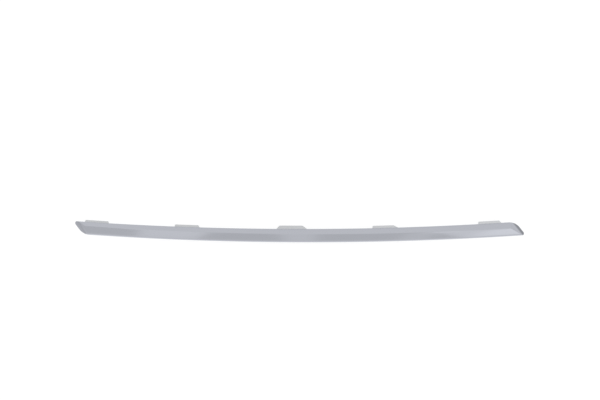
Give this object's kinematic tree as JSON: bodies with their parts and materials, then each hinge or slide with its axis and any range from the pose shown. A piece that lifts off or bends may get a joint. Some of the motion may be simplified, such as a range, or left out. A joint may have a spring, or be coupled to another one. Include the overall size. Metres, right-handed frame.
{
  "type": "bumper trim strip",
  "caption": "Slender chrome-plated bumper trim strip: a smile-curved two-facet moulding with slant-cut ends and locating tabs along its upper edge.",
  "frame": {"origin": "middle of the overall box, at its bottom, the plane that the strip lies on", "axes": "+X along the strip from its left end to its right end, +Y across it to the edge with the locating tabs, +Z out of the visible face"},
  "size_m": [0.6198, 0.031, 0.0158],
  "materials": {
    "chrome_plating": "bright mirror plating over moulded plastic"
  },
  "bodies": {
    "root": {"trim_strip": "chrome_plating"}
  },
  "joints": []
}
